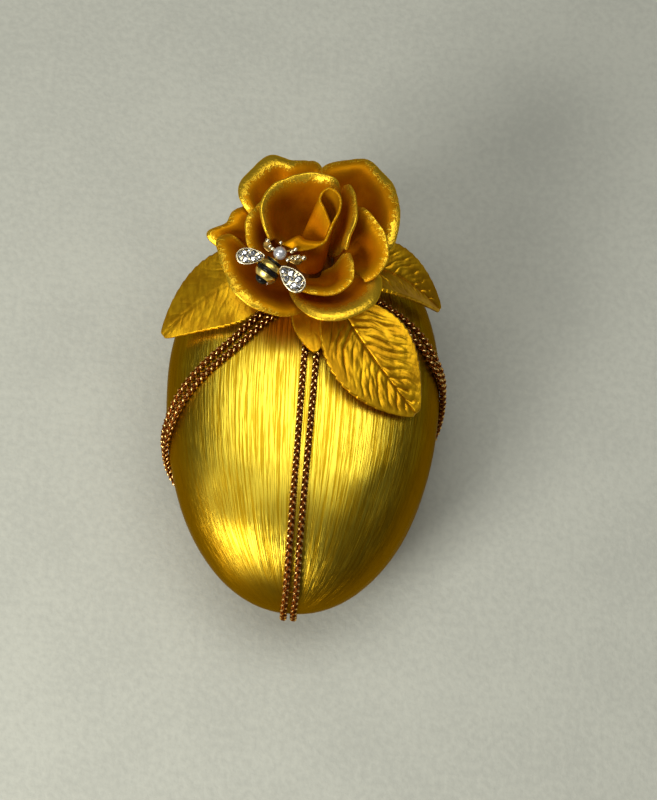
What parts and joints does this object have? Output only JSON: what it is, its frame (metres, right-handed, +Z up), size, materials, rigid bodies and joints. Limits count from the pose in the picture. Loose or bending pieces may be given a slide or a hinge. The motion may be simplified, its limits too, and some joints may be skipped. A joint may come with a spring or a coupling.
{
  "type": "decorated egg ornament",
  "caption": "Gold painted decorative egg, flattened front to back, wrapped in paired braided cord and dressed with a hand-made rose, toothed leaves and a stone-set bee charm.",
  "frame": {"origin": "middle of the object's footprint, on the surface that it lies on", "axes": "+Z up out of the decorated front, +Y along the egg towards its broad end, which carries the rose, +X to the right seen from the front"},
  "size_m": [0.0474, 0.0716, 0.0442],
  "materials": {
    "gold_paint": "brushed metallic gold paint on a solid blank",
    "bronze_cord": "braided metallic thread",
    "clay_core": "matt modelling clay",
    "petal_gold": "amber clay with gold brushed on the rims",
    "leaf_gold": "pressed clay with satin gold paint",
    "bee_gold": "polished gold plate",
    "black_enamel": "gloss enamel",
    "pearl": "pearl lustre",
    "crystal": "cut and polished",
    "clear_glue": "set clear glue"
  },
  "bodies": {
    "root": {"egg_body": "gold_paint", "lengthwise_cord_left": "bronze_cord", "lengthwise_cord_right": "bronze_cord", "girth_cord_upper": "bronze_cord", "girth_cord_lower": "bronze_cord", "rose_glue_bed": "clay_core", "rose_core": "clay_core", "rose_bud_roll": "petal_gold", "rose_petal_inner_left": "petal_gold", "rose_petal_inner_right": "petal_gold", "rose_petal_middle_left": "petal_gold", "rose_petal_middle_right": "petal_gold", "rose_petal_middle_lower": "petal_gold", "rose_petal_outer_lower_right": "petal_gold", "rose_petal_outer_lower_left": "petal_gold", "rose_petal_outer_left": "petal_gold", "rose_petal_outer_upper_left": "petal_gold", "rose_petal_outer_upper": "petal_gold", "rose_petal_outer_upper_right": "petal_gold", "leaf_left": "leaf_gold", "leaf_right": "leaf_gold", "leaf_front": "leaf_gold", "leaf_small": "leaf_gold", "bee_body": "bee_gold", "bee_enamel_band_front": "black_enamel", "bee_enamel_band_rear": "black_enamel", "bee_tail_enamel": "black_enamel", "bee_pearl": "pearl", "bee_wing_left": "bee_gold", "bee_wing_right": "bee_gold", "bee_fore_wing_left": "bee_gold", "bee_fore_wing_right": "bee_gold", "bee_stone_left_1": "crystal", "bee_stone_left_2": "crystal", "bee_stone_left_3": "crystal", "bee_stone_left_4": "crystal", "bee_stone_left_5": "crystal", "bee_stone_right_1": "crystal", "bee_stone_right_2": "crystal", "bee_stone_right_3": "crystal", "bee_stone_right_4": "crystal", "bee_stone_right_5": "crystal", "bee_glue_dab": "clear_glue"}
  },
  "joints": []
}
